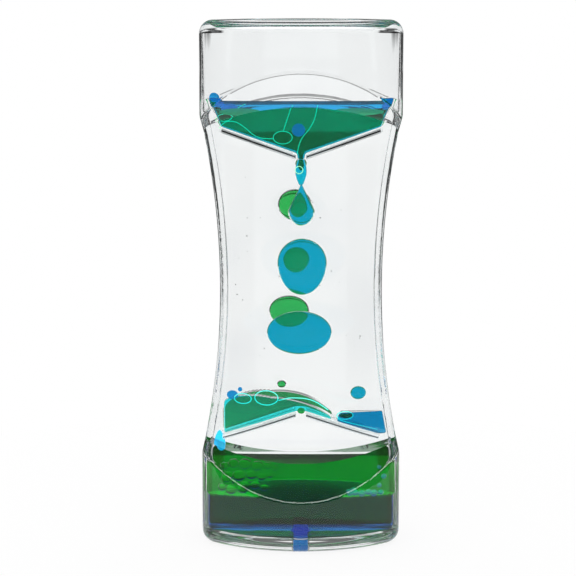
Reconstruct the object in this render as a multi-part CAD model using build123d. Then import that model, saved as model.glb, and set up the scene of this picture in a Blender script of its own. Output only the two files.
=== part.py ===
from build123d import *
import os
from math import atan, cos, radians, sqrt, tan

# Driving dimensions in millimetres. The front faces -Y, and the timer stands on Z = 0.
height = 139.0
block_width = 53.0
block_depth = 35.5
block_bow_radius = 38.7
block_corner_radius = 6.0
end_edge_radius = 3.6
shoulder_height = 24.3
waist_width = 42.8
waist_depth = 20.0
waist_bow_radius = 71.0
waist_edge_radius = 3.0
cove_foot = 13.9
cove_angle = 48.0
cove_edge_radius = 1.0
cove_tolerance = 0.01
wall = 2.4
end_wall = 3.6

# Divider plate between the chambers, held in a rebate in the rims of both shells
divider_thickness = 1.6
divider_seat = 1.2
divider_clearance = 0.1
divider_face_clearance = 0.05

# Ramps: sloping strips that make the funnel and the roof in each chamber
ramp_thickness = 1.2
ramp_tip_height = 36.0
ramp_end_height = 29.2
slot_width = 2.4
drip_gap = 2.6
bond_gap = 0.05

# Filler plugs in the base, one to a chamber
plug_diameter = 3.8
plug_clearance = 0.05
plug_offset = 5.2
plug_recess = 0.4
plug_stub = 1.0
plug_edge_radius = 0.5

# Liquids: oil film round the coloured liquid, liquid levels, and the tails below the drip gaps
film = 0.3
blue_top_depth = 20.0
green_top_depth = 22.6
blue_base_level = 14.6
green_base_level = 23.2
tail_neck_radius = 0.8
tail_radius = 1.5
tail_tip_radius = 0.4
tail_swell_share = 0.35
blue_tail_length = 7.0
green_tail_length = 3.4

# Pools on the lower ramps: where their crowns and ends are across, and heights above the ramp tips
pool_start = 0.4
pool_lip = 0.8
blue_left_pool = (-4.0, 8.0)
blue_left_crown = 3.5
blue_left_shoulder = 0.6
green_pool = (-4.4, 8.2)
green_crown = 4.4
green_shoulder = -2.5
blue_right_start = 9.3
blue_right_top = -0.2

# Drops: across, width, reach above the widest place, reach below it
drop_thickness = 5.4
blue_drops = {
    "blue_drop_1": (0.8, 6.9, 5.8, 4.0),
    "blue_drop_2": (0.3, 12.7, 6.4, 8.5),
    "blue_drop_3": (-0.4, 16.8, 5.8, 5.8),
}
green_drops = {
    "green_drop_1": (-1.6, 8.5, 4.2, 4.2),
    "green_drop_2": (-1.6, 8.1, 4.0, 4.0),
    "green_drop_3": (-3.0, 10.2, 4.2, 4.2),
}

# The gap above each drop, as a share of the free way between the tail and what lies below
blue_gaps = (0.03, 0.168, 0.213)
green_gaps = (0.152, 0.199, 0.184)

# Small drops: width, reach above the widest place, reach below it, and where each one is
droplet_thickness = 2.8
slot_drop_thickness = 1.8
blue_droplet = (4.2, 1.8, 1.8)
blue_droplet_from_wall = 4.0
blue_droplet_above_pool = 5.0
blue_slot_drop = (2.2, 3.4, 3.4)
slot_drop_below_ramp = 2.3
green_droplet = (2.4, 1.0, 1.0)
green_droplet_across = -4.9
green_droplet_above_pool = 1.8
green_bead = (4.2, 1.0, 1.0)
green_bead_across = 11.7
green_bead_above_ramp = 1.36

# Travel of the moving drops, up and down, and the room left round them
drop_room = 0.4
blue_fall = 10.0
green_rise = 3.0
green_fall = 11.0
droplet_rise = 58.0
droplet_fall = 2.0
slot_drop_fall = 7.5

# Worked out from the driving dimensions
middle = height / 2
waist_half_chord = middle - shoulder_height
waist_sag = (block_width - waist_width) / 2
waist_radius = (waist_half_chord**2 + waist_sag**2) / (2 * waist_sag)
cove_rise = tan(radians(cove_angle))
half_divider = divider_thickness / 2
ramp_tip = drip_gap / 2
waist_at_ramp = waist_radius - sqrt(waist_radius**2 - (middle - ramp_end_height) ** 2)
ramp_reach = waist_width / 2 + waist_at_ramp - wall - slot_width
ramp_slope = (ramp_tip_height - ramp_end_height) / (ramp_reach - ramp_tip)
ramp_upright = ramp_thickness / cos(atan(ramp_slope))
film_upright = film / cos(atan(ramp_slope))


def plan_outline(inset):
    """Outline of an end block from above: bowed front and back, straight sides, round corners."""
    setback = block_bow_radius - block_depth / 2
    radius = block_bow_radius - inset
    bow = Pos(0, setback) * Circle(radius) & Pos(0, -setback) * Circle(radius)
    outline = bow & Rectangle(block_width - 2 * inset, block_depth)
    return fillet(outline.vertices(), block_corner_radius - inset)


def waisted(shape, inset):
    """Cuts the hollow hourglass sides of a shape, drawn in by inset."""
    for side in (-1, 1):
        scoop = Rot(90, 0, 0) * Cylinder(waist_radius + inset, 2 * block_depth)
        shape -= Pos(side * (waist_width / 2 + waist_radius), 0, middle) * scoop
    return shape


def flat_plate(inset, end_inset, thickness):
    """Flat plate on the middle plane with the outline of the timer seen from the front."""
    plate = Box(block_width - 2 * inset, thickness, height - 2 * end_inset)
    return waisted(Pos(0, 0, middle) * plate, inset)


def cove_height(depth):
    """Height of the lower cove at a distance in front of or behind the middle plane."""
    return cove_foot + (block_depth / 2 - abs(depth)) * cove_rise


def lies_on_cove(edge):
    """True for the edges where the slopes of the cove meet the block."""
    points = [edge.position_at(share) for share in (0.1, 0.5, 0.9)]
    return all(abs(point.Z - cove_height(point.Y)) < cove_tolerance for point in points)


def end_block(inset, end_inset):
    """Lower end block, cut at the top by the front and back slopes of the cove."""
    drawn_in = inset / cos(radians(cove_angle))
    reach = block_depth / 2 + wall
    gable = Polyline(
        (-reach, 0),
        (reach, 0),
        (reach, cove_height(reach) - drawn_in),
        (0, cove_height(0) - drawn_in),
        (-reach, cove_height(reach) - drawn_in),
        close=True,
    )
    roof = extrude(Plane.YZ * make_face(gable), block_width, both=True)
    block = Pos(0, 0, end_inset) * extrude(plan_outline(inset), middle - end_inset)
    return waisted(block & roof, inset)


def waist(inset):
    """Waist between the end blocks: bowed front and back, hourglass sides, rounded long edges."""
    setback = waist_bow_radius - waist_depth / 2
    radius = waist_bow_radius - inset
    root = cove_height(waist_depth / 2) - wall
    lens = Pos(0, setback) * Circle(radius) & Pos(0, -setback) * Circle(radius)
    core = waisted(Pos(0, 0, root) * extrude(lens, height - 2 * root), inset)
    long_edges = core.edges().filter_by(lambda e: e.bounding_box().size.Z > height / 2)
    core = fillet(long_edges, waist_edge_radius - inset)
    return core & Pos(0, 0, middle) * Box(block_width - 2 * inset, block_depth, height)


def vessel(inset, end_inset):
    """Whole bottle, drawn in by inset at the sides and by end_inset at both ends."""
    block = end_block(inset, end_inset)
    if inset == 0:
        foot_edges = block.edges().filter_by(lambda e: e.bounding_box().max.Z < end_edge_radius)
        block = fillet(foot_edges, end_edge_radius)
        block = fillet(block.edges().filter_by(lies_on_cove), cove_edge_radius)
    lower_half = (waist(inset) & Pos(0, 0, middle / 2) * Box(2 * block_width, 2 * block_depth, middle)) + block
    return lower_half + turned_over(lower_half)


def turned_over(shape):
    """The same shape at the other end of the timer, turned about the front-to-back axis."""
    return Pos(0, 0, height) * Rot(0, 180, 0) * shape


def behind(shape):
    """The same shape in the rear chamber."""
    return mirror(shape, about=Plane.XZ)


def front_part(shape, gap):
    """The part of a shape that lies in front of the middle plane by at least a gap."""
    room = Box(2 * block_width, block_depth, 2 * height, align=(Align.CENTER, Align.MAX, Align.CENTER))
    return shape & Pos(0, -gap, 0) * room


def through(outline):
    """Outline in the front view, taken right through the timer from front to back."""
    return extrude(Plane.XZ * outline, block_depth, both=True)


def roof_line(across):
    """Height of the upper face of the lower ramps."""
    return ramp_tip_height - (abs(across) - ramp_tip) * ramp_slope


def funnel_line(across):
    """Height of the upper face of the upper ramps."""
    return height - roof_line(across) + ramp_upright


def ramp(side):
    """Lower ramp of the front chamber on one side, +1 for the right."""
    strip = Polyline(
        (side * ramp_tip, roof_line(ramp_tip)),
        (side * ramp_reach, roof_line(ramp_reach)),
        (side * ramp_reach, roof_line(ramp_reach) - ramp_upright),
        (side * ramp_tip, roof_line(ramp_tip) - ramp_upright),
        close=True,
    )
    return front_part(through(make_face(strip)) & bonded_waist, half_divider + bond_gap)


def plug():
    """Filler plug of the front chamber, from just above the underside to its stub inside."""
    length = end_wall + plug_stub - plug_recess
    stopper = Cylinder(plug_diameter / 2, length, align=(Align.CENTER, Align.CENTER, Align.MIN))
    stopper = fillet(stopper.edges().filter_by(GeomType.CIRCLE), plug_edge_radius)
    return Pos(0, -plug_offset, plug_recess) * stopper


def plug_bore(clearance):
    """Room for a filler plug in the front chamber, up to the end of its stub."""
    length = end_wall + plug_stub + clearance
    bore = Cylinder(plug_diameter / 2 + clearance, length, align=(Align.CENTER, Align.CENTER, Align.MIN))
    return Pos(0, -plug_offset, 0) * bore


def funnel_outline(level):
    """Liquid held by the upper ramps, with the neck that fills the drip gap."""
    edge = block_width / 2 - wall - pool_lip
    neck = ramp_tip - film
    side = [
        (edge, level),
        (ramp_reach, funnel_line(ramp_reach) + film_upright),
        (neck, funnel_line(ramp_tip) + film_upright),
        (neck, funnel_line(ramp_tip) - ramp_upright),
    ]
    return make_face(Polyline(*side, *[(-x, z) for x, z in reversed(side)], close=True))


def tail(length):
    """Tail of liquid below the drip gap of the front chamber, swelling and then drawn to a point."""
    top = height - ramp_tip_height
    tip_height = top - length
    swell = top - length * tail_swell_share
    profile = make_face(
        Polyline((tail_neck_radius, top), (0, top), (0, tip_height), (tail_tip_radius, tip_height))
        + Spline((tail_tip_radius, tip_height), (tail_radius, swell), (tail_neck_radius, top))
    )
    return Pos(0, -chamber_middle(0), 0) * revolve(Plane.XZ * profile, Axis.Z)


def domed_outline(across, crown, shoulder):
    """Pool that lies over the tips of the lower ramps, with one crowned top."""
    start = pool_start - ramp_reach
    top, end = across
    foot = [(x, roof_line(x) + film_upright) for x in (start, -ramp_tip, ramp_tip, end)]
    lip = (end, foot[-1][1] + pool_lip)
    rim = (start, ramp_tip_height + shoulder)
    peak = (top, ramp_tip_height + crown)
    return make_face(Polyline(rim, *foot, lip) + ThreePointArc(lip, peak, rim))


def level_outline(start, top):
    """Pool with a level top that lies along the right-hand lower ramp as far as the wall."""
    edge = block_width / 2
    corner = (start + pool_lip, top)
    foot = roof_line(ramp_reach) + film_upright
    line = Polyline(
        (start, roof_line(start) + film_upright),
        (ramp_reach, foot),
        (edge, foot),
        (edge, top),
        corner,
        close=True,
    )
    return make_face(line)


def base_outline(level):
    """Liquid that has run down into the base, up to its level."""
    return Pos(0, level / 2) * Rectangle(block_width, level)


def chamber_middle(across):
    """Distance of the middle of a chamber from the middle plane, less where the waist bows back."""
    radius = waist_bow_radius - wall
    bow = radius - sqrt(radius**2 - across**2)
    return (waist_depth / 2 - wall - bow + half_divider) / 2


def drop(size, thickness):
    """Drop in the front chamber: an egg turned about its upright axis, then flattened by the walls."""
    across, centre, width, rise, fall = size
    upper = EllipticalCenterArc((0, 0), width / 2, rise, start_angle=0, arc_size=90)
    lower = EllipticalCenterArc((0, 0), width / 2, fall, start_angle=270, arc_size=90)
    profile = make_face(upper + lower + Line((0, rise), (0, -fall)))
    egg = scale(revolve(Plane.XZ * profile, Axis.Z), by=(1, thickness / width, 1))
    return Pos(across, -chamber_middle(across), centre) * egg


def train(sizes, gaps, tail_length, floor):
    """Drops spread down the way from the end of a tail to what lies below it."""
    place = height - ramp_tip_height - tail_length
    free = place - floor - sum(rise + fall for across, width, rise, fall in sizes.values())
    placed = {}
    for (name, (across, width, rise, fall)), gap in zip(sizes.items(), gaps):
        place -= free * gap + rise
        placed[name] = (across, place, width, rise, fall)
        place -= fall
    return placed


def lane(sizes, up, down, to_wall=False):
    """Room that a train of drops passes through on its way up or down, out to the left wall if asked."""
    left = min(x - w / 2 for x, z, w, r, f in sizes) - drop_room
    if to_wall:
        left = -block_width / 2
    right = max(x + w / 2 for x, z, w, r, f in sizes) + drop_room
    top = max(z + r for x, z, w, r, f in sizes) + up + drop_room
    bottom = min(z - f for x, z, w, r, f in sizes) - down - drop_room
    return Pos((left + right) / 2, (top + bottom) / 2) * Rectangle(right - left, top - bottom)


# Clear moulded case
outer = vessel(0, 0)
cavity = vessel(wall, end_wall)
filled = front_part(vessel(wall + film, end_wall + film), half_divider + film)
bonded_waist = waist(wall + bond_gap)
seat = divider_seat + divider_clearance
rebate = flat_plate(wall - seat, end_wall - seat, divider_thickness + 2 * divider_face_clearance)

pieces = {}
front_shell = front_part(outer - cavity - rebate, 0) - plug_bore(plug_clearance)
pieces["front_shell"] = front_shell
pieces["rear_shell"] = behind(front_shell)
pieces["divider_plate"] = flat_plate(wall - divider_seat, end_wall - divider_seat, divider_thickness)

# Ramps and plugs, alike in both chambers
right_ramp = ramp(1)
left_ramp = ramp(-1)
fittings = {
    "lower_right_ramp": right_ramp,
    "lower_left_ramp": left_ramp,
    "upper_right_ramp": turned_over(left_ramp),
    "upper_left_ramp": turned_over(right_ramp),
    "filler_plug": plug(),
}
for name, piece in fittings.items():
    pieces["front_" + name] = piece
    pieces["rear_" + name] = behind(piece)

# Coloured liquid at rest: blue in the front chamber, green in the rear one
right_pool_level = ramp_tip_height + blue_right_top
blue_outlines = {
    "blue_funnel_pool": funnel_outline(height - blue_top_depth),
    "blue_left_pool": domed_outline(blue_left_pool, blue_left_crown, blue_left_shoulder),
    "blue_right_pool": level_outline(blue_right_start, right_pool_level),
    "blue_base_pool": base_outline(blue_base_level),
}
green_outlines = {
    "green_funnel_pool": funnel_outline(height - green_top_depth),
    "green_pool": domed_outline(green_pool, green_crown, green_shoulder),
    "green_base_pool": base_outline(green_base_level),
}
tails = {"blue_funnel_pool": tail(blue_tail_length), "green_funnel_pool": tail(green_tail_length)}
blue_solids = {}
green_solids = {}
for outlines, solids in ((blue_outlines, blue_solids), (green_outlines, green_solids)):
    for name, outline in outlines.items():
        liquid = through(outline) & filled
        if name in tails:
            liquid = liquid + tails[name]
        solids[name] = liquid - plug_bore(film)

# Drops on their way down, and two small ones that have settled
droplet_place = (waist_width / 2 - wall - blue_droplet_from_wall, right_pool_level + blue_droplet_above_pool)
slot_place = (-ramp_reach - slot_width / 2, ramp_end_height - slot_drop_below_ramp)
settled_place = (green_droplet_across, ramp_tip_height + green_crown + green_droplet_above_pool)
bead_place = (green_bead_across, roof_line(green_bead_across) + green_bead_above_ramp)
droplet = (*droplet_place, *blue_droplet)
slot_drop = (*slot_place, *blue_slot_drop)
settled_drop = (*settled_place, *green_droplet)
bead = (*bead_place, *green_bead)
settled_top = settled_place[1] + green_droplet[1]
blue_train = train(blue_drops, blue_gaps, blue_tail_length, ramp_tip_height + blue_left_crown)
green_train = train(green_drops, green_gaps, green_tail_length, settled_top)
for name, size in blue_train.items():
    blue_solids[name] = drop(size, drop_thickness)
blue_solids["blue_droplet"] = drop(droplet, droplet_thickness)
blue_solids["blue_slot_drop"] = drop(slot_drop, slot_drop_thickness)
for name, size in green_train.items():
    green_solids[name] = drop(size, drop_thickness)
green_solids["green_droplet"] = drop(settled_drop, droplet_thickness)
green_solids["green_bead"] = drop(bead, droplet_thickness)

# Clear oil fills the rest of each chamber, apart from the room that the drops pass through
chamber = front_part(cavity, half_divider)
for name in fittings:
    chamber -= pieces["front_" + name]
blue_lanes = [
    lane(blue_train.values(), 0, blue_fall),
    lane([droplet], droplet_rise, droplet_fall),
    lane([slot_drop], 0, slot_drop_fall, to_wall=True),
]
green_lanes = [
    lane(green_train.values(), green_rise, green_fall),
    lane([settled_drop], 0, 0),
    lane([bead], 0, 0),
]
front_oil = chamber - tails["blue_funnel_pool"]
for outline in [*blue_outlines.values(), *blue_lanes]:
    front_oil -= through(outline)
rear_oil = chamber - tails["green_funnel_pool"]
for outline in [*green_outlines.values(), *green_lanes]:
    rear_oil -= through(outline)
pieces["front_oil"] = front_oil
pieces["rear_oil"] = behind(rear_oil)

pieces.update(blue_solids)
pieces.update({name: behind(liquid) for name, liquid in green_solids.items()})

os.makedirs("parts", exist_ok=True)
for name, piece in pieces.items():
    piece.label = name
    export_step(piece, os.path.join("parts", name + ".step"))
    print(name, len(piece.solids()), round(piece.volume, 1))
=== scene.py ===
import math
import random

import bpy
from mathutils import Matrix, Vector


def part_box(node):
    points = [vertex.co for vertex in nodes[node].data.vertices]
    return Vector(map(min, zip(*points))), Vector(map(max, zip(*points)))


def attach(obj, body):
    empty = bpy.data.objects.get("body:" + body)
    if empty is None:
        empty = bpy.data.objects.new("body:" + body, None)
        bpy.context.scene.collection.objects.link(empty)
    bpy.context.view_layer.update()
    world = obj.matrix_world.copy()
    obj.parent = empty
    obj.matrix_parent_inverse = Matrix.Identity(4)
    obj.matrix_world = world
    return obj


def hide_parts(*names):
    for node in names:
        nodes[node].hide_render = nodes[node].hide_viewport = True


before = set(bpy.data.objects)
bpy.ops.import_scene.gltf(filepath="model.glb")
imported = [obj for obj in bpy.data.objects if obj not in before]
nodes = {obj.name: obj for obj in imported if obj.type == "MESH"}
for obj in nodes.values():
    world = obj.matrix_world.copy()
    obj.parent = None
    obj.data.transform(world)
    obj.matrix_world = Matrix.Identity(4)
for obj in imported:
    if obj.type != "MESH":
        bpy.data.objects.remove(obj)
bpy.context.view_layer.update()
mm = 0.001
print("frame loaded:", len(nodes), "nodes")


def clearSelection():
    bpy.ops.object.select_all(action="DESELECT")


def activate(piece):
    clearSelection()
    piece.select_set(True)
    bpy.context.view_layer.objects.active = piece


def applyModifiers(piece):
    activate(piece)
    for modifier in list(piece.modifiers):
        bpy.ops.object.modifier_apply(modifier=modifier.name)


def mergedCopy(nodeName, pieceName, gap=0.002 * mm):
    piece = nodes[nodeName].copy()
    piece.data = nodes[nodeName].data.copy()
    piece.name = pieceName
    for key in list(piece.keys()):
        del piece[key]
    piece.parent = None
    piece.data.materials.clear()
    bpy.context.scene.collection.objects.link(piece)
    activate(piece)
    bpy.ops.object.mode_set(mode="EDIT")
    bpy.ops.mesh.select_all(action="SELECT")
    bpy.ops.mesh.customdata_custom_splitnormals_clear()
    bpy.ops.mesh.remove_doubles(threshold=gap)
    bpy.ops.object.mode_set(mode="OBJECT")
    return piece


def startSelection(piece, kind):
    activate(piece)
    bpy.ops.object.mode_set(mode="EDIT")
    bpy.ops.mesh.select_mode(type=kind)
    bpy.ops.mesh.select_all(action="DESELECT")
    bpy.ops.object.mode_set(mode="OBJECT")


def selectFaces(piece, wanted):
    startSelection(piece, "FACE")
    for face in piece.data.polygons:
        face.select = wanted(face)
    bpy.ops.object.mode_set(mode="EDIT")


def selectPoints(piece, wanted):
    startSelection(piece, "VERT")
    for corner in piece.data.vertices:
        corner.select = wanted(corner.co)
    bpy.ops.object.mode_set(mode="EDIT")


def movePoints(piece, wanted, move):
    selectPoints(piece, wanted)
    bpy.ops.transform.translate(value=move)
    bpy.ops.object.mode_set(mode="OBJECT")


def resizePoints(piece, wanted, factors):
    selectPoints(piece, wanted)
    bpy.ops.transform.resize(value=factors, center_override=(0, 0, 0))
    bpy.ops.object.mode_set(mode="OBJECT")


def everyPoint(place):
    return True


def smoothByAngle(piece, degrees):
    activate(piece)
    bpy.ops.object.shade_smooth_by_angle(angle=math.radians(degrees), keep_sharp_edges=False)


def paint(piece, *finishNames):
    piece.data.materials.clear()
    for name in finishNames:
        piece.data.materials.append(materials[name])


def settle(piece, body, slot, *replaced):
    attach(piece, body)
    if replaced:
        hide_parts(*replaced)


def gather(pieces, pieceName, finishName, slot, *replaced):
    # Small pieces of one kind become one piece of the bottle's filling
    clearSelection()
    for piece in pieces:
        piece.select_set(True)
    bpy.context.view_layer.objects.active = pieces[0]
    if len(pieces) > 1:
        bpy.ops.object.join()
    whole = bpy.context.object
    whole.name = pieceName
    bpy.ops.object.transform_apply(location=True, rotation=True, scale=True)
    bpy.ops.object.shade_smooth()
    paint(whole, finishName)
    settle(whole, "vessel", slot, *replaced)


def camelName(nodeName, ending):
    first, *rest = nodeName.split("_")
    return first + "".join(word.capitalize() for word in rest) + ending


# Shader nodes
def addNode(tree, kind, **values):
    node = tree.nodes.new("ShaderNode" + kind)
    for name, value in values.items():
        setattr(node, name, value)
    return node


def feed(tree, socket, value):
    if isinstance(value, bpy.types.NodeSocket):
        tree.links.new(value, socket)
    else:
        socket.default_value = value


def calculate(tree, operation, first, second=0.0, clamp=False):
    node = addNode(tree, "Math", operation=operation, use_clamp=clamp)
    feed(tree, node.inputs[0], first)
    feed(tree, node.inputs[1], second)
    return node.outputs[0]


def blendColours(tree, share, first, second, kind="MIX"):
    blend = addNode(tree, "Mix", data_type="RGBA", blend_type=kind)
    feed(tree, blend.inputs[0], share)
    feed(tree, blend.inputs[6], first)
    feed(tree, blend.inputs[7], second)
    return blend.outputs[2]


def objectNoise(tree, scale, detail):
    coords = addNode(tree, "TexCoord")
    noise = addNode(tree, "TexNoise")
    noise.inputs["Detail"].default_value = detail
    tree.links.new(coords.outputs["Object"], noise.inputs["Vector"])
    tree.links.new(scale, noise.inputs["Scale"])
    return noise.outputs["Fac"]


def spread(tree, value, low, high, newLow=0.0, newHigh=1.0):
    change = addNode(tree, "MapRange")
    feed(tree, change.inputs["Value"], value)
    feed(tree, change.inputs["From Min"], low)
    feed(tree, change.inputs["From Max"], high)
    feed(tree, change.inputs["To Min"], newLow)
    feed(tree, change.inputs["To Max"], newHigh)
    return change.outputs["Result"]


# Node groups: one for how moulded plastic flows, one for a liquid's dye by height, which in the green base
# pool also paints shade at its top
flowSettings = {"detail": 2.0, "range": (0.45, 0.75), "hazeDetail": 4.0, "hazeRange": (0.5, 0.8)}
swirlSettings = {"detail": 3.0, "range": (0.35, 0.65)}
rippleHeight = 0.4 * mm


def newGroup(name, inputs, outputs):
    group = bpy.data.node_groups.new(name, "ShaderNodeTree")
    for label, kind, value in inputs:
        socket = group.interface.new_socket(label, in_out="INPUT", socket_type="NodeSocket" + kind)
        socket.default_value = value
    for label, kind in outputs:
        group.interface.new_socket(label, in_out="OUTPUT", socket_type="NodeSocket" + kind)
    return group, group.nodes.new("NodeGroupInput"), group.nodes.new("NodeGroupOutput")


def addRipple(group, strength, height):
    bump = addNode(group, "Bump")
    bump.inputs["Distance"].default_value = rippleHeight
    group.links.new(strength, bump.inputs["Strength"])
    group.links.new(height, bump.inputs["Height"])
    return bump.outputs["Normal"]


def makeMouldedFlow():
    group, given, result = newGroup(
        "mouldedFlow",
        [("Clear Colour", "Color", (1, 1, 1, 1)), ("Flow Colour", "Color", (0.9, 0.9, 0.9, 1)),
         ("Flow Scale", "Float", 40.0), ("Haze Scale", "Float", 900.0), ("Haze", "Float", 0.02),
         ("Ripple", "Float", 0.1)],
        [("Colour", "Color"), ("Roughness", "Float"), ("Normal", "Vector")])
    flow = objectNoise(group, given.outputs["Flow Scale"], flowSettings["detail"])
    share = spread(group, flow, *flowSettings["range"])
    colour = blendColours(group, share, given.outputs["Clear Colour"], given.outputs["Flow Colour"])
    haze = objectNoise(group, given.outputs["Haze Scale"], flowSettings["hazeDetail"])
    roughness = spread(group, haze, *flowSettings["hazeRange"], 0.0, given.outputs["Haze"])
    group.links.new(colour, result.inputs["Colour"])
    group.links.new(roughness, result.inputs["Roughness"])
    group.links.new(addRipple(group, given.outputs["Ripple"], flow), result.inputs["Normal"])
    return group


def makeDyeAndPaintedShade():
    group, given, result = newGroup(
        "dyeDepth",
        [("Upper Colour", "Color", (0, 0.4, 0.6, 1)), ("Lower Colour", "Color", (0, 0.3, 0.5, 1)),
         ("Low", "Float", 0.0), ("High", "Float", 0.1), ("Swirl Scale", "Float", 120.0),
         ("Swirl", "Float", 0.2), ("Ripple", "Float", 0.1), ("Rear Colour", "Color", (1, 1, 1, 1)),
         ("Rear Start", "Float", 1.0), ("Rear End", "Float", 1.1)],
        [("Colour", "Color"), ("Normal", "Vector")])
    coords = addNode(group, "TexCoord")
    axes = addNode(group, "SeparateXYZ")
    group.links.new(coords.outputs["Object"], axes.inputs[0])
    rise = spread(group, axes.outputs["Z"], given.outputs["Low"], given.outputs["High"])
    swirl = objectNoise(group, given.outputs["Swirl Scale"], swirlSettings["detail"])
    wander = spread(group, swirl, *swirlSettings["range"], -1.0, 1.0)
    strength = calculate(group, "MULTIPLY", wander, given.outputs["Swirl"])
    share = calculate(group, "ADD", rise, strength, clamp=True)
    colour = blendColours(group, share, given.outputs["Lower Colour"], given.outputs["Upper Colour"])
    rear = spread(group, axes.outputs["Y"], given.outputs["Rear Start"], given.outputs["Rear End"])
    colour = blendColours(group, rear, colour, given.outputs["Rear Colour"])
    group.links.new(colour, result.inputs["Colour"])
    group.links.new(addRipple(group, given.outputs["Ripple"], swirl), result.inputs["Normal"])
    return group


mouldedFlow = makeMouldedFlow()
dyeDepth = makeDyeAndPaintedShade()

# Plastics, oil films, foam and small blobs: linear colours, each what white looks like through a whole
# piece.
# A "glow" is painted light: a pale painted highlight on the ramps, painted glints on the films, a painted
# glow on the rest
plastics = {
    "casePlastic": {"clear": (0.985, 0.99, 0.99), "flow": (0.95, 0.965, 0.97), "ior": 1.49, "ripple": 0.05},
    "caseInside": {"clear": (0.985, 0.99, 0.99), "flow": (0.955, 0.96, 0.965), "ior": 1.08, "ripple": 0.1},
    "dividerPlastic": {"clear": (0.95, 0.96, 0.96), "flow": (0.92, 0.93, 0.935), "ior": 1.09,
                       "ripple": 0.1},
    "rampPlastic": {"clear": (0.97, 0.98, 0.98), "flow": (0.92, 0.94, 0.95), "ior": 1.12, "ripple": 0.1,
                    "haze": 0.3, "through": 0.6, "glow": (0.25, 0.26, 0.26)},
    "rampShade": {"clear": (0.03, 0.035, 0.04), "flow": (0.07, 0.08, 0.09), "ior": 1.12, "ripple": 0.1},
    "plugPlastic": {"clear": (0.0, 0.34, 0.6), "flow": (0.0, 0.25, 0.52), "ior": 1.12, "ripple": 0.2,
                    "haze": 0.5, "through": 0.7, "glow": (0.0, 0.05, 0.13)},
    "bubbleBlue": {"clear": (0.02, 0.28, 0.62), "flow": (0.01, 0.2, 0.5), "ior": 0.95, "ripple": 0.1,
                   "through": 0.6, "glow": (0.005, 0.13, 0.24)},
    "bubbleGreen": {"clear": (0.02, 0.4, 0.1), "flow": (0.01, 0.3, 0.06), "ior": 0.95, "ripple": 0.1,
                    "through": 0.6, "glow": (0.0, 0.1, 0.01)},
    "meniscusGreen": {"clear": (0.02, 0.5, 0.25), "flow": (0.02, 0.42, 0.2), "ior": 0.97, "ripple": 0.1,
                      "through": 0.5, "glow": (0.01, 0.2, 0.1)},
    "filmPlain": {"clear": (0.5, 0.85, 0.62), "flow": (0.25, 0.7, 0.5), "ior": 1.1, "ripple": 0.2,
                  "haze": 0.4, "through": 0.3, "glow": (0.28, 0.6, 0.36)},
    "filmCyan": {"clear": (0.2, 0.8, 0.9), "flow": (0.12, 0.62, 0.8), "ior": 1.1, "ripple": 0.2,
                 "haze": 0.4, "through": 0.3, "glow": (0.12, 0.62, 0.46)},
    "foamGreen": {"clear": (0.5, 0.92, 0.6), "flow": (0.4, 0.85, 0.5), "ior": 0.9, "ripple": 0.1},
    "foamBlue": {"clear": (0.6, 0.85, 0.98), "flow": (0.5, 0.75, 0.95), "ior": 0.9, "ripple": 0.1,
                 "glow": (0.01, 0.03, 0.08)},
    "speckDark": {"clear": (0.05, 0.06, 0.05), "flow": (0.1, 0.12, 0.1), "ior": 1.3, "ripple": 0.2,
                  "haze": 0.6, "through": 0.0},
}
plainHaze = 0.02


def newFinish(name, group):
    material = bpy.data.materials.new(name)
    material.use_nodes = True
    tree = material.node_tree
    return material, tree.nodes["Principled BSDF"], addNode(tree, "Group", node_tree=group)


def addPaintedGlow(shader, settings):
    # Painted light: a fixed glow, lit by no lamp, that stands in for light which dye or a film scatters back
    # from all round it
    if "glow" in settings:
        shader.inputs["Emission Color"].default_value = (*settings["glow"], 1)
        shader.inputs["Emission Strength"].default_value = 1.0


def plasticFinish(name, settings):
    material, shader, flow = newFinish(name, mouldedFlow)
    flow.inputs["Clear Colour"].default_value = (*settings["clear"], 1)
    flow.inputs["Flow Colour"].default_value = (*settings["flow"], 1)
    flow.inputs["Ripple"].default_value = settings["ripple"]
    flow.inputs["Haze"].default_value = settings.get("haze", plainHaze)
    for output, socket in (("Colour", "Base Color"), ("Roughness", "Roughness"), ("Normal", "Normal")):
        material.node_tree.links.new(flow.outputs[output], shader.inputs[socket])
    shader.inputs["IOR"].default_value = settings["ior"]
    shader.inputs["Transmission Weight"].default_value = settings.get("through", 1.0)
    addPaintedGlow(shader, settings)
    return material


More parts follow.
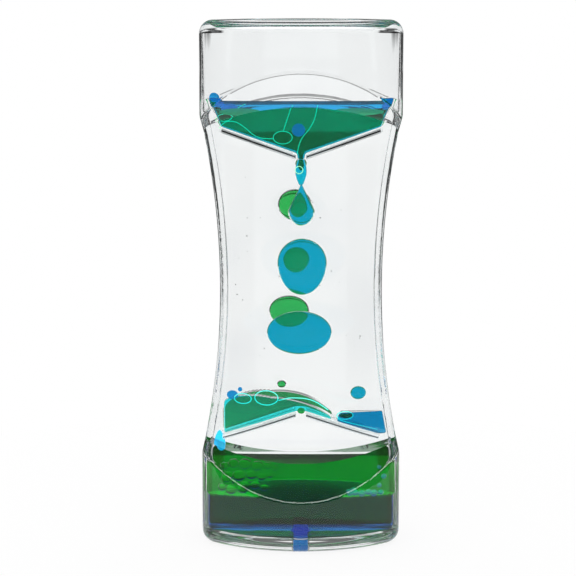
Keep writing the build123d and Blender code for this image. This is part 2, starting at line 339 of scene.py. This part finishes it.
# Dyed liquids: upper and lower colour of each pool or drop, and the heights in mm where they blend.
# "rear" gives the depths in mm where a pool's dye gives way to its rear colour. A "glow" is painted light
liquids = {
    "blueFunnel": {"upper": (0.0, 0.42, 0.88), "lower": (0.0, 0.5, 0.64), "blend": (115.8, 116.8)},
    "greenFunnel": {"upper": (0.03, 0.5, 0.18), "lower": (0.003, 0.25, 0.07), "blend": (109.6, 110.3)},
    "blueDrop": {"upper": (0.0, 0.2, 0.52), "lower": (0.0, 0.18, 0.5), "blend": (60, 90),
                 "glow": (0.0, 0.13, 0.04), "ior": 0.88},
    "greenDrop": {"upper": (0.03, 0.5, 0.10), "lower": (0.03, 0.47, 0.11), "blend": (60, 90),
                  "ior": 0.88},
    "blueRoof": {"upper": (0.0, 0.6, 0.68), "lower": (0.04, 0.84, 0.8), "blend": (32, 40),
                 "glow": (0.01, 0.04, 0.03)},
    "blueRight": {"upper": (0.0, 0.24, 0.5), "lower": (0.02, 0.4, 0.68), "blend": (29, 32)},
    "blueSlot": {"upper": (0.01, 0.5, 0.85), "lower": (0.01, 0.4, 0.75), "blend": (24, 29),
                 "glow": (0.0, 0.22, 0.36)},
    "greenRoof": {"upper": (0.03, 0.27, 0.09), "lower": (0.03, 0.3, 0.1), "blend": (34, 41)},
    "blueBase": {"upper": (0.04, 0.16, 0.8), "lower": (0.02, 0.25, 0.9), "blend": (4, 9)},
    # Top of the green base pool: near black above 20.4 to 20.9 mm, painted shade
    "greenBase": {"upper": (0.0, 0.04, 0.0006), "lower": (0.0, 0.3, 0.0016), "blend": (20.4, 20.9),
                  "rear": (8.2, 8.8), "rearColour": (0.62, 0.86, 0.66)},
}
liquidIor = 0.95


def liquidFinish(name, settings):
    material, shader, dyeAndShade = newFinish(name, dyeDepth)
    dyeAndShade.inputs["Upper Colour"].default_value = (*settings["upper"], 1)
    dyeAndShade.inputs["Lower Colour"].default_value = (*settings["lower"], 1)
    low, high = settings["blend"]
    dyeAndShade.inputs["Low"].default_value = low * mm
    dyeAndShade.inputs["High"].default_value = high * mm
    if "rear" in settings:
        start, end = settings["rear"]
        dyeAndShade.inputs["Rear Start"].default_value = start * mm
        dyeAndShade.inputs["Rear End"].default_value = end * mm
        dyeAndShade.inputs["Rear Colour"].default_value = (*settings["rearColour"], 1)
    for output, socket in (("Colour", "Base Color"), ("Normal", "Normal")):
        material.node_tree.links.new(dyeAndShade.outputs[output], shader.inputs[socket])
    shader.inputs["Roughness"].default_value = 0.0
    shader.inputs["IOR"].default_value = settings.get("ior", liquidIor)
    shader.inputs["Transmission Weight"].default_value = 1.0
    addPaintedGlow(shader, settings)
    return material


materials = {name: plasticFinish(name, settings) for name, settings in plastics.items()}
materials.update({name: liquidFinish(name, settings) for name, settings in liquids.items()})
print("finishes made:", len(materials))

# Case: the front moulding's skin and the same behind, welded along the seam
caseSettings = {"seam": 0.001 * mm, "smoothAngle": 25, "lift": 0.01 * mm, "reach": 0.2}


def makeCase():
    case = mergedCopy("front_shell", "clearCase")
    corners = case.data.vertices
    seam = caseSettings["seam"]
    selectFaces(case, lambda face: all(abs(corners[v].co.y) < seam for v in face.vertices))
    bpy.ops.mesh.delete(type="FACE")
    bpy.ops.object.mode_set(mode="OBJECT")
    mirror = case.modifiers.new("rear half", "MIRROR")
    mirror.use_axis = (False, True, False)
    mirror.merge_threshold = seam
    applyModifiers(case)
    paint(case, "casePlastic", "caseInside")
    # A face whose normal meets the case again looks into the chamber
    for face in case.data.polygons:
        start = face.center + face.normal * caseSettings["lift"]
        hit = case.ray_cast(start, face.normal, distance=caseSettings["reach"])[0]
        face.material_index = 1 if hit else 0
    smoothByAngle(case, caseSettings["smoothAngle"])
    settle(case, "vessel", "clear_plastic", "front_shell", "rear_shell")


makeCase()
print("case made")

# Divider and plugs keep their CAD shape
paint(nodes["divider_plate"], "dividerPlastic")
# The plugs' finish carries a painted glow that brightens them
for nodeName in ("front_filler_plug", "rear_filler_plug"):
    paint(nodes[nodeName], "plugPlastic")

# Ramps: the CAD strips with eased edges, a dark line of painted shade along the flat of each front and rear
# edge, and a pale painted highlight over the rest from the strip finish's glow
rampSettings = {"edge": 0.4, "segments": 3, "lean": 0.12, "facing": 0.7, "smoothAngle": 40}


def makeRamp(nodeName):
    ramp = mergedCopy(nodeName, camelName(nodeName, "Strip"))
    ease = ramp.modifiers.new("eased edges", "BEVEL")
    ease.width = rampSettings["edge"] * mm
    ease.segments = rampSettings["segments"]
    applyModifiers(ramp)
    paint(ramp, "rampPlastic", "rampShade")
    # Upright faces turned to front or back get the painted shade line
    for face in ramp.data.polygons:
        upright = abs(face.normal.z) < rampSettings["lean"]
        facing = abs(face.normal.y) > rampSettings["facing"]
        face.material_index = 1 if upright and facing else 0
    smoothByAngle(ramp, rampSettings["smoothAngle"])
    settle(ramp, "vessel", "clear_plastic", nodeName)


rampNodes = [name for name in nodes if name.endswith("_ramp")]
for nodeName in rampNodes:
    makeRamp(nodeName)
print("ramps made:", len(rampNodes))

# Pools: the CAD liquid with its edges drawn round by surface tension
poolSettings = {
    "blue_funnel_pool": {"voxel": 0.35, "rounds": 10, "finish": "blueFunnel"},
    "blue_left_pool": {"voxel": 0.25, "rounds": 50, "finish": "blueRoof", "shoulder": 2.0},
    "blue_right_pool": {"voxel": 0.25, "rounds": 30, "finish": "blueRight"},
    "blue_base_pool": {"voxel": 0.45, "rounds": 6, "finish": "blueBase", "climb": -1.2},
    "green_funnel_pool": {"voxel": 0.35, "rounds": 10, "finish": "greenFunnel", "climb": 2.6},
    "green_pool": {"voxel": 0.25, "rounds": 50, "finish": "greenRoof", "shoulder": 2.4},
    "green_base_pool": {"voxel": 0.45, "rounds": 6, "finish": "greenBase"},
    "green_droplet": {"voxel": 0.15, "rounds": 2, "finish": "greenDrop"},
    "green_bead": {"voxel": 0.15, "rounds": 2, "finish": "greenRoof"},
}
tension = 0.5
climbSteps = 12
shoulderSettings = {"steps": 10, "start": -8.0, "stepWidth": 1.0, "roofTop": 38.4, "roofSlope": 0.342}


def climbWalls(pool, climb):
    # The level top is drawn up or down towards both sides, more the nearer they are
    top = max(corner.co.z for corner in pool.data.vertices)
    reach = max(corner.co.x for corner in pool.data.vertices)
    for step in range(1, climbSteps):
        edge = reach * step / climbSteps
        lift = climb * ((step + 0.5) ** 2 - (step - 0.5) ** 2) / climbSteps**2
        movePoints(pool, lambda place: place.z > top - abs(climb) and abs(place.x) > edge, (0, 0, lift))


def raiseShoulder(pool, rise):
    # The pool's top is lifted at its left end, while its underside stays on the roof strip
    roofTop = shoulderSettings["roofTop"] * mm
    slope = shoulderSettings["roofSlope"]
    steps = shoulderSettings["steps"]
    for step in range(steps):
        edge = (shoulderSettings["start"] - step * shoulderSettings["stepWidth"]) * mm
        movePoints(
            pool, lambda place: place.x < edge and place.z > roofTop + slope * place.x, (0, 0, rise / steps))


def makePool(nodeName, settings):
    pool = mergedCopy(nodeName, camelName(nodeName, "Liquid"))
    remesh = pool.modifiers.new("even skin", "REMESH")
    remesh.mode = "VOXEL"
    remesh.voxel_size = settings["voxel"] * mm
    remesh.use_smooth_shade = True
    soften = pool.modifiers.new("surface tension", "SMOOTH")
    soften.factor = tension
    soften.iterations = settings["rounds"]
    applyModifiers(pool)
    if "climb" in settings:
        climbWalls(pool, settings["climb"] * mm)
    if "shoulder" in settings:
        raiseShoulder(pool, settings["shoulder"] * mm)
    paint(pool, settings["finish"])
    activate(pool)
    bpy.ops.object.shade_smooth()
    settle(pool, "vessel", nodeName.split("_")[0] + "_liquid", nodeName)


for nodeName, settings in poolSettings.items():
    makePool(nodeName, settings)
print("pools made:", len(poolSettings))

# Drops: a ball drawn out above and below its widest place, each on its own body
dropSettings = {
    "segments": 64, "rings": 32, "middle": 1e-6,
    "point": {"blue_drop_1": 0.8, "blue_slot_drop": 0.35},
    "reachUp": {"blue_drop_1": 1.1},
    "shift": {"blue_drop_1": -0.7, "blue_slot_drop": 0.5},
    "widen": {"blue_slot_drop": 1.45},
    "finish": {"blue_slot_drop": "blueSlot"},
}
dropNodes = [name for name in nodes if "_drop" in name and name not in poolSettings]


def widestHeight(nodeName):
    corners = nodes[nodeName].data.vertices
    return max(corners, key=lambda corner: corner.co.x).co.z


def drawPoint(drop, point):
    # Each ring of the upper half is drawn in, more the nearer it is to the tip
    rings = dropSettings["rings"]
    for ring in range(1, rings // 2):
        level = math.cos(math.pi * ring / rings)
        draw = 1 - point * level
        resizePoints(drop, lambda place: abs(place.z - level) < 0.5 / rings**2, (draw, draw, 1))


def makeDrop(nodeName):
    colour = nodeName.split("_")[0]
    low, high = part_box(nodeName)
    widest = widestHeight(nodeName)
    clearSelection()
    bpy.ops.mesh.primitive_uv_sphere_add(
        segments=dropSettings["segments"], ring_count=dropSettings["rings"], radius=1)
    drop = bpy.context.object
    drop.name = camelName(nodeName, "Liquid")
    if nodeName in dropSettings["point"]:
        drawPoint(drop, dropSettings["point"][nodeName])
    reachUp = dropSettings["reachUp"].get(nodeName, 0.0) * mm
    resizePoints(drop, lambda place: place.z > dropSettings["middle"], (1, 1, high.z + reachUp - widest))
    resizePoints(drop, lambda place: place.z < -dropSettings["middle"], (1, 1, widest - low.z))
    breadth = (high - low) / 2 * dropSettings["widen"].get(nodeName, 1.0)
    resizePoints(drop, everyPoint, (breadth.x, breadth.y, 1))
    centre = (low + high) / 2
    shift = dropSettings["shift"].get(nodeName, 0.0) * mm
    movePoints(drop, everyPoint, (centre.x + shift, centre.y, widest))
    bpy.ops.object.shade_smooth()
    paint(drop, dropSettings["finish"].get(nodeName, colour + "Drop"))
    settle(drop, nodeName, colour + "_liquid", nodeName)


for nodeName in dropNodes:
    makeDrop(nodeName)
print("drops made:", len(dropNodes))

# Clear oil shows only by its specks
speckSettings = {"count": 14, "radius": 0.14, "seed": 7, "sizes": (0.5, 1.2),
                 "across": (-17, 17), "depth": (2, 5.5), "up": (45, 98)}


def makeSpecks(nodeName, pieceName, side):
    random.seed(speckSettings["seed"] + side)
    specks = []
    for index in range(speckSettings["count"]):
        across = random.uniform(*speckSettings["across"])
        depth = side * random.uniform(*speckSettings["depth"])
        up = random.uniform(*speckSettings["up"])
        radius = speckSettings["radius"] * mm * random.uniform(*speckSettings["sizes"])
        clearSelection()
        bpy.ops.mesh.primitive_ico_sphere_add(
            subdivisions=2, radius=radius, location=Vector((across, depth, up)) * mm)
        specks.append(bpy.context.object)
    gather(specks, pieceName, "speckDark", "clear_oil", nodeName)


makeSpecks("front_oil", "frontOilSpecks", -1)
makeSpecks("rear_oil", "rearOilSpecks", 1)
print("oil specks made")

# Films: where two blobs of liquid touch, a thin skin of oil stays between them and shows as a pale line;
# its paleness is a painted glint, the glow of the film's finish.
# Lines are (across, up) in mm and loops have half sizes too. Each film lies just behind the front wall
wallSettings = {"depth": 7.6, "bow": 68.6, "inset": 0.9}
filmSettings = {
    "loopPoints": 12,
    "funnelRadius": 0.09,
    "funnelLoops": [(-19.9, 114.3, 2.4, 1.55), (-4.7, 108.7, 2.5, 1.7), (-0.5, 100.3, 1.0, 1.0)],
    "funnelLines": [
        [(-21.1, 111.0), (-20.0, 112.7), (-17.1, 113.0), (-14.4, 111.3), (-12.1, 109.1), (-9.5, 108.3),
         (-7.2, 108.4)],
        [(-17.5, 115.4), (-17.0, 116.4), (-16.3, 117.4), (-15.4, 118.2), (-14.3, 118.6)],
        [(-2.2, 118.1), (-2.6, 116.4), (-3.2, 114.4), (-3.9, 112.4), (-4.5, 110.5)],
        [(4.3, 118.1), (3.9, 114.4), (2.3, 111.0), (0.5, 109.1), (-0.65, 106.8), (-1.0, 104.3)],
    ],
    "roofRadius": 0.14,
    "roofLoops": [(-15.2, 39.4, 2.3, 1.4), (-9.0, 39.8, 3.15, 2.0), (11.6, 35.0, 2.2, 1.1)],
    "roofLines": [
        [(-5.8, 39.2), (-4.0, 39.7), (-2.2, 40.0), (1.6, 39.8), (4.7, 38.6), (7.2, 36.6)],
        [(9.6, 34.2), (10.6, 33.6), (14.0, 32.6), (17.4, 31.6), (20.2, 30.8)],
    ],
}


def frontWall(across):
    return -(wallSettings["depth"] - across**2 / (2 * wallSettings["bow"]))


def onFrontWall(across, up):
    return (across, frontWall(across) + wallSettings["inset"], up)


def filmTube(points, radius, closed):
    clearSelection()
    bpy.ops.curve.primitive_nurbs_path_add()
    curve = bpy.context.object.data
    spline = curve.splines[0]
    spline.points.add(len(points) - len(spline.points))
    for control, place in zip(spline.points, points):
        control.co = (*[length * mm for length in place], 1)
    spline.use_cyclic_u = closed
    spline.use_endpoint_u = not closed
    spline.order_u = 3
    spline.resolution_u = 4
    curve.bevel_depth = radius * mm
    curve.bevel_resolution = 2
    curve.use_fill_caps = True
    bpy.ops.object.convert(target="MESH")
    return bpy.context.object


def loopPoints(across, up, halfWidth, halfHeight):
    points = []
    for index in range(filmSettings["loopPoints"]):
        turn = 2 * math.pi * index / filmSettings["loopPoints"]
        points.append(onFrontWall(across + halfWidth * math.cos(turn), up + halfHeight * math.sin(turn)))
    return points


def makeFilms(place, finishName):
    radius = filmSettings[place + "Radius"]
    tubes = [filmTube(loopPoints(*loop), radius, True) for loop in filmSettings[place + "Loops"]]
    for line in filmSettings[place + "Lines"]:
        tubes.append(filmTube([onFrontWall(*point) for point in line], radius, False))
    gather(tubes, place + "OilFilms", finishName, "clear_oil")


makeFilms("funnel", "filmPlain")
makeFilms("roof", "filmCyan")
print("oil films made")


def addBall(place, radius, stretch, segments=32):
    clearSelection()
    bpy.ops.mesh.primitive_uv_sphere_add(
        segments=segments, ring_count=segments // 2, radius=radius * mm, location=Vector(place) * mm)
    ball = bpy.context.object
    ball.scale = stretch
    bpy.ops.object.transform_apply(location=True, rotation=True, scale=True)
    return ball


# Foam on the base pools: flattened bubbles against the front wall, as (across, up, radius)
foamSettings = {
    "inset": 0.4, "clearance": 1.35, "flatness": (1, 0.7, 0.85),
    "coveFoot": 10.31, "coveRise": 1.11, "blockFront": -17.75,
    "foamGreen": [
        (-20.3, 20.6, 1.2), (-17.9, 21.0, 1.5), (-14.9, 20.7, 1.8), (-11.6, 20.4, 1.6), (-8.9, 20.6, 1.2),
        (-6.9, 20.2, 0.9), (-19.2, 18.4, 1.4), (-16.3, 18.2, 1.8), (-13.0, 18.5, 1.5), (-10.3, 18.1, 1.2),
        (-8.2, 18.6, 0.9), (-20.6, 16.4, 1.2), (-18.0, 15.9, 1.6), (-14.8, 16.1, 1.5), (-12.0, 16.3, 1.3),
        (-9.6, 15.8, 1.1)],
    "foamBlue": [
        (12.6, 15.2, 0.7), (14.0, 15.4, 0.9), (15.8, 15.2, 1.0), (17.6, 15.5, 0.9), (19.2, 15.2, 1.1),
        (21.2, 15.4, 0.8), (20.6, 17.0, 0.7), (21.6, 19.0, 0.8), (20.8, 20.6, 0.6)],
}


def slopeFront(up):
    # The inner face of the front cove above the base, by height
    return (up - foamSettings["coveFoot"]) / foamSettings["coveRise"] + foamSettings["blockFront"]


def makeFoam(finishName):
    bubbles = []
    for across, up, radius in foamSettings[finishName]:
        depth = slopeFront(up) + foamSettings["clearance"] * radius + foamSettings["inset"]
        bubbles.append(addBall((across, depth, up), radius, foamSettings["flatness"]))
    gather(bubbles, finishName + "Bubbles", finishName, "clear_oil")


makeFoam("foamGreen")
makeFoam("foamBlue")
print("base foam made")

# Small blobs that sit on the pools and haven't joined them: across, up, radius, flatness
blobSettings = {
    "thickness": 0.7, "deepest": -2.4,
    "blue": [(-0.65, 110.6, 1.7, 1.0), (-17.9, 40.1, 1.5, 0.8), (-15.9, 41.8, 0.6, 1.0),
             (-21.2, 119.2, 1.4, 0.9), (-18.6, 117.8, 2.2, 0.6), (21.8, 118.2, 1.0, 0.9)],
    "green": [(0.1, 36.3, 1.0, 0.8)],
}


def makeBlobs(colour):
    blobs = []
    for across, up, radius, flatness in blobSettings[colour]:
        depth = min(frontWall(across) + wallSettings["inset"] + radius, blobSettings["deepest"])
        blobs.append(addBall((across, depth, up), radius, (1, blobSettings["thickness"], flatness)))
    gather(blobs, colour + "Blobs", "bubble" + colour.capitalize(), colour + "_liquid")


makeBlobs("blue")
makeBlobs("green")
print("small blobs made")

# Liquid drawn up the front wall at both ends of the upper pool, as (across, up) and half sizes
meniscusSettings = {
    "inset": 0.7, "segments": 48,
    "places": [((14.0, 116.2), (7.4, 0.35, 1.1)), ((-15.6, 116.2), (5.6, 0.35, 1.1))],
}


def makeMeniscus():
    ends = []
    for (across, up), halves in meniscusSettings["places"]:
        depth = frontWall(across) + meniscusSettings["inset"]
        ends.append(addBall((across, depth, up), 1, halves, meniscusSettings["segments"]))
    gather(ends, "funnelMeniscus", "meniscusGreen", "blue_liquid")


makeMeniscus()
print("meniscus made")

# Pale floor, which keeps a share of the object's shadow, with a painted shadow close round the object where
# it is seen through the clear piece
stageSettings = {"floorRadius": 0.16, "edges": 96, "under": 0.02 * mm, "shadow": 0.1, "shade": 0.45,
                 "shadeReach": (0.03, 0.045), "shadeBehind": 0.02}


def rayMask(tree):
    path = addNode(tree, "LightPath")
    mask = path.outputs["Is Camera Ray"]
    for name in ("Is Glossy Ray", "Is Transmission Ray"):
        mask = calculate(tree, "MAXIMUM", mask, path.outputs[name])
    return mask


def floorShade(tree):
    # Painted shadow: seen through the clear piece, the floor close round it is painted darker, as if in its
    # own shade
    coords = addNode(tree, "TexCoord")
    moved = addNode(tree, "VectorMath", operation="SUBTRACT")
    moved.inputs[1].default_value = (0, stageSettings["shadeBehind"], 0)
    tree.links.new(coords.outputs["Object"], moved.inputs[0])
    length = addNode(tree, "VectorMath", operation="LENGTH")
    tree.links.new(moved.outputs["Vector"], length.inputs[0])
    near, far = stageSettings["shadeReach"]
    level = spread(tree, length.outputs["Value"], near, far, stageSettings["shade"], 1.0)
    path = addNode(tree, "LightPath")
    shaded = addNode(tree, "Mix", data_type="FLOAT")
    feed(tree, shaded.inputs[0], path.outputs["Is Transmission Ray"])
    feed(tree, shaded.inputs[2], 1.0)
    feed(tree, shaded.inputs[3], level)
    return shaded.outputs[0]


def makeStage():
    clearSelection()
    bpy.ops.mesh.primitive_circle_add(
        vertices=stageSettings["edges"], radius=stageSettings["floorRadius"], fill_type="NGON",
        location=(0, 0, -stageSettings["under"]))
    floor = bpy.context.object
    floor.name = "floor"
    paleFloor = bpy.data.materials.new("paleFloor")
    paleFloor.use_nodes = True
    tree = paleFloor.node_tree
    shader = tree.nodes["Principled BSDF"]
    shader.inputs["Base Color"].default_value = (1, 1, 1, 1)
    shader.inputs["Roughness"].default_value = 1.0
    glow = addNode(tree, "Emission")
    tree.links.new(floorShade(tree), glow.inputs["Color"])
    mix = addNode(tree, "MixShader")
    tree.links.new(calculate(tree, "MULTIPLY", rayMask(tree), 1 - stageSettings["shadow"]), mix.inputs[0])
    tree.links.new(shader.outputs[0], mix.inputs[1])
    tree.links.new(glow.outputs[0], mix.inputs[2])
    tree.links.new(mix.outputs[0], tree.nodes["Material Output"].inputs["Surface"])
    floor.data.materials.append(paleFloor)


# White surround, with bands as (start, end, level) in degrees. What is seen through the clear piece has dark
# cards round it, and what the piece mirrors is a dim room with one soft light at the front
worldSettings = {
    "sides": [(32, 58, 0.02), (66, 83, 0.02)],
    "softenSides": 3,
    "sidesFoot": (-13, -10),
    "heights": [(-60, -24, 0.12), (8.5, 11.5, 0.3), (24, 60, 0.12)],
    "softenHeights": 2,
    "mirrored": [(-90, 26, 0.2), (32, 48, 8.0), (54, 70, 0.2), (80, 90, 1.0)],
    "frontLight": (-0.5, -0.3),
    "dimRoom": 0.2,
}


def grey(level):
    return (level, level, level, 1)


def angleRamp(tree, angle, lowest, highest, stopLevels):
    # Grey levels at angles in degrees, as one ramp
    share = spread(tree, angle, math.radians(lowest), math.radians(highest))
    ramp = addNode(tree, "ValToRGB")
    stops = ramp.color_ramp.elements
    while len(stops) > 1:
        stops.remove(stops[-1])
    stops[0].position = 0.0
    stops[0].color = grey(stopLevels[0][1])
    for place, level in stopLevels[1:]:
        stop = stops.new((place - lowest) / (highest - lowest))
        stop.color = grey(level)
    tree.links.new(share, ramp.inputs[0])
    return ramp.outputs["Color"]


def bandStops(bands, lowest, highest, soften):
    # White, with dark bands that have softened sides
    stopLevels = [(lowest, 1.0)]
    for start, end, level in bands:
        stopLevels += [(start - soften, 1.0), (start, level), (end, level), (end + soften, 1.0)]
    return stopLevels + [(highest, 1.0)]


def darkCards(tree, side, height):
    # Cards at the sides stand above the floor, and cards above and below go all round
    sideStops = bandStops(worldSettings["sides"], 0, 90, worldSettings["softenSides"])
    heightStops = bandStops(worldSettings["heights"], -90, 90, worldSettings["softenHeights"])
    foot, rise = worldSettings["sidesFoot"]
    sides = angleRamp(tree, side, 0, 90, sideStops)
    heights = angleRamp(tree, height, -90, 90, heightStops)
    below = angleRamp(tree, height, -90, 90, [(-90, 1.0), (foot, 1.0), (rise, 0.0), (90, 0.0)])
    raised = blendColours(tree, 1.0, sides, below, "LIGHTEN")
    return blendColours(tree, 1.0, raised, heights, "DARKEN")


def mirroredRoom(tree, depth, height):
    roomStops = []
    for start, end, level in worldSettings["mirrored"]:
        roomStops += [(start, level), (end, level)]
    room = angleRamp(tree, height, -90, 90, roomStops)
    near, far = worldSettings["frontLight"]
    fromFront = spread(tree, depth, near, far, 1.0, 0.0)
    return blendColours(tree, fromFront, grey(worldSettings["dimRoom"]), room)


def makeWorld():
    world = bpy.data.worlds.new("whiteSurround")
    bpy.context.scene.world = world
    world.use_nodes = True
    tree = world.node_tree
    coords = addNode(tree, "TexCoord")
    axes = addNode(tree, "SeparateXYZ")
    tree.links.new(coords.outputs["Generated"], axes.inputs[0])
    turn = calculate(tree, "ARCTAN2", axes.outputs["X"], axes.outputs["Y"])
    side = calculate(tree, "PINGPONG", turn, math.pi / 2)
    height = calculate(tree, "ARCSINE", axes.outputs["Z"])
    path = addNode(tree, "LightPath")
    through = path.outputs["Is Transmission Ray"]
    seen = blendColours(tree, through, grey(1.0), darkCards(tree, side, height))
    onlyMirrored = calculate(tree, "SUBTRACT", path.outputs["Is Glossy Ray"], through, clamp=True)
    seen = blendColours(tree, onlyMirrored, seen, mirroredRoom(tree, axes.outputs["Y"], height))
    background = tree.nodes["Background"]
    tree.links.new(seen, background.inputs["Color"])
    background.inputs["Strength"].default_value = 1.0


# Camera: where the photograph was taken from, in metres and degrees
cameraSettings = {"place": (0, -0.417, 0.125), "pitch": 7.744, "yaw": 0.474, "lens": 98.275,
                  "sensor": 36, "nearest": 0.01}


def makeCamera():
    data = bpy.data.cameras.new("photoView")
    camera = bpy.data.objects.new("photoView", data)
    bpy.context.scene.collection.objects.link(camera)
    camera.location = cameraSettings["place"]
    camera.rotation_euler = (
        math.radians(90 - cameraSettings["pitch"]), 0, math.radians(cameraSettings["yaw"]))
    data.lens = cameraSettings["lens"]
    data.sensor_width = cameraSettings["sensor"]
    data.clip_start = cameraSettings["nearest"]
    bpy.context.scene.camera = camera


makeStage()
makeWorld()
makeCamera()
scene = bpy.context.scene
scene.view_settings.view_transform = "Standard"
scene.cycles.max_bounces = 40
scene.cycles.transmission_bounces = 40
scene.cycles.glossy_bounces = 12
print("stage, world and camera made")
